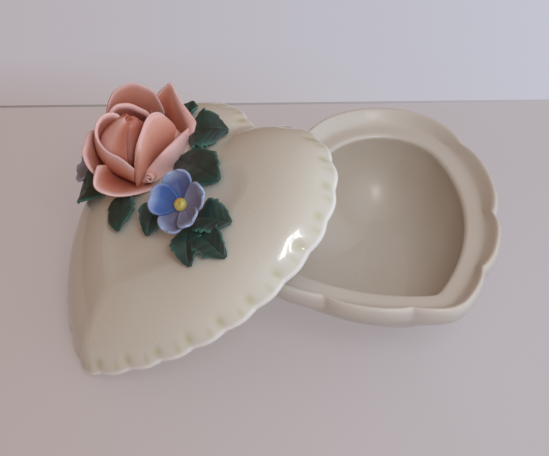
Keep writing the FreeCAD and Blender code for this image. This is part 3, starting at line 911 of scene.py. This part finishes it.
def leaf(name, start, end, heights, width, fold, roll):
    """A serrated leaf with a folded midrib and side veins, lying over the dome."""
    rng = np.random.default_rng(sum(map(ord, name)))
    v = np.linspace(0, 1, LEAF_ROWS)
    spine = leaf_spine(start, end, heights)
    length = np.linalg.norm(spine[-1] - spine[0])
    along = unit(np.gradient(spine, axis=0))
    side = unit(np.cross(LEAF_UP + roll * unit(np.cross(LEAF_UP, along)), along))
    up = unit(np.cross(along, side))
    belly = np.clip(np.sin(math.pi * v ** 0.76), 0, 1) ** 0.78
    belly = np.maximum(belly, 0.24 * (v < 0.3))
    teeth = leaf_teeth(rng, v)
    crumple = rng.uniform(0, 6, 2)
    half = 0.5 * width
    columns = np.linspace(-1, 1, LEAF_COLS)
    points = np.zeros((LEAF_ROWS, LEAF_COLS, 3))
    for j, x in enumerate(columns):
        out, which = abs(x), int(x > 0)
        y = half * belly * (1 + 0.19 * out ** 3 * teeth[which]) * x
        ripple = 0.8 * out ** 1.5 * np.sin(v * 8 + crumple[which]) * belly
        veins = np.abs(np.sin(math.pi * (v * LEAF_TEETH + out * 1.4 * half / length * 3)))
        rib = 0.35 * math.exp(-(x / 0.10) ** 2)
        z = (fold * out * half * belly + ripple - 0.13 * veins * min(1.0, out * 6) - rib
             - 0.10 * half * out ** 3)
        swept = 0.06 * length * out ** 1.5 * belly
        points[:, j] = spine + side * y[:, None] + up * z[:, None] + along * swept[:, None]
    edge = np.broadcast_to(columns ** 2, (LEAF_ROWS, LEAF_COLS))
    return sheet_object(name, points, {"edge": edge}, LEAF_T)


# ---- floor, wall, light and camera -----------------------------------------------------------------
def plane(name, corners, material):
    """A flat part of the backdrop, which is no part of the box."""
    obj = mesh_object(name, corners, [[0, 1, 2, 3]])
    obj.data.materials.append(material)


def stage():
    """The floor, which ends behind the box, and the thin line along its end."""
    # both backdrop colours go from warm and darker on the left to cool and brighter on the right: painted
    # room light
    floor_paint = backdrop("floor_paint", (0.47, 0.39, 0.365), (0.54, 0.53, 0.585), 0.60)
    line_paint = backdrop("line_paint", (0.20, 0.16, 0.14), (0.50, 0.485, 0.53), 0.8)
    ahead = Vector((CAMERA_TOWARDS[0], CAMERA_TOWARDS[1], 0)).normalized()
    across = Vector((ahead.y, -ahead.x, 0))
    middle = Vector((0, -FOOT_MIDDLE_Y, 0))
    left = middle + ahead * (FLOOR_END - FLOOR_SKEW) - across * FLOOR_HALF
    right = middle + ahead * (FLOOR_END + FLOOR_SKEW) + across * FLOOR_HALF
    near = ahead * FLOOR_DEPTH
    up = Vector((0, 0, LINE_HEIGHT))
    plane("floor", [left, right, right - near, left - near], floor_paint)
    plane("far_line", [left, right, right + up, left + up], line_paint)


def world():
    """A bright cool side, a warm dim side, and the pale wall beyond the floor's end."""
    made = bpy.data.worlds.new("Room")
    bpy.context.scene.world = made
    n = Nodes(made, "Generated")
    down = (0, 0, -1)
    room = n.ramp(n.along(TOWARDS_LIGHT, -1, 1), *ROOM)
    wall = n.ramp(n.along(TO_THE_RIGHT, -0.2, 0.2), *WALL)
    foot = n.ramp(n.along(TO_THE_RIGHT, -0.2, 0.2), *FOOT_OF_WALL)
    wall = n.mix(n.along(down, 0.565, 0.595), wall, foot)
    background = n.tree.nodes["Background"]
    n.put(background.inputs["Color"], n.mix(n.along(down, 0.15, 0.3), room, wall))
    background.inputs["Strength"].default_value = ROOM_STRENGTH


def aimed(name, data, at, direction):
    """Put a camera or a light in the scene."""
    obj = bpy.data.objects.new(name, data)
    obj.location = Vector(at) * MM
    obj.rotation_euler = Vector(direction).to_track_quat("-Z", "Y").to_euler()
    bpy.context.scene.collection.objects.link(obj)
    return obj


def camera():
    """The camera, high at the front left."""
    bpy.context.scene.view_settings.view_transform = "Standard"
    data = bpy.data.cameras.new("Camera")
    data.lens = CAMERA_LENS
    data.sensor_width = 36.0
    data.clip_start = 0.01
    bpy.context.scene.camera = aimed("Camera", data, CAMERA_AT, CAMERA_TOWARDS)


def lights():
    """The two panes of a window, which show in the lid's glaze."""
    for side in (-1, 1):
        name = f"window_pane_{2 + side}"
        light = bpy.data.lights.new(name, "AREA")
        light.shape = "RECTANGLE"
        light.size, light.size_y = (s * MM for s in PANE_SIZE)
        light.energy = PANE_WATTS
        light.color = DAYLIGHT
        at = Vector(WINDOW_AT) + Vector((side * PANE_APART / 2, 0, 0))
        aimed(name, light, at, Vector(WINDOW_TOWARDS) - at)


# ---- assembly --------------------------------------------------------------------------------------
def finish_piece(obj, material, body, slot, *nodes):
    obj.data.materials.append(material)
    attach(obj, body)
    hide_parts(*nodes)


camera()
stage()
world()
lights()

# the bowl's third colour is the painted shade for its inside
bowl_white = porcelain("bowl_glaze", (0.61, 0.565, 0.51), (0.59, 0.53, 0.46), (0.40, 0.29, 0.185),
                       0.4, 0.2, 0.2)
finish_piece(base_bowl(), bowl_white, "base", "porcelain", "base_bowl")

lid_white = porcelain("lid_glaze", (0.655, 0.63, 0.565), (0.645, 0.595, 0.51), (0.50, 0.47, 0.26),
                      0.2, 0.5, 0.04)
finish_piece(lid_shell(), lid_white, "lid", "porcelain", "lid_shell")

pink = rose_glaze()
for petal in rose():
    finish_piece(petal, pink, "lid", "rose_pink", *ROSE_NODES[petal.name])

yellow = bead_glaze()
blue = flower_glaze("blue_glaze", (0.050, 0.13, 0.40), (0.17, 0.17, 0.27), (0.36, 0.44, 0.66))
violet = flower_glaze("violet_glaze", (0.16, 0.18, 0.33), (0.24, 0.23, 0.31), (0.42, 0.44, 0.55))
for colour, spec, glaze in (("blue", BLUE, blue), ("violet", VIOLET, violet)):
    petals, middle = small_flower(colour, **spec)
    for k, petal in enumerate(petals, 1):
        finish_piece(petal, glaze, "lid", f"flower_{colour}", f"{colour}_flower_petal_{k}")
    finish_piece(middle, yellow, "lid", "bead_yellow", f"{colour}_flower_bead")

green = leaf_glaze()
for name, spec in LEAVES.items():
    finish_piece(leaf(name + "_veined", *spec), green, "lid", "leaf_green", name)
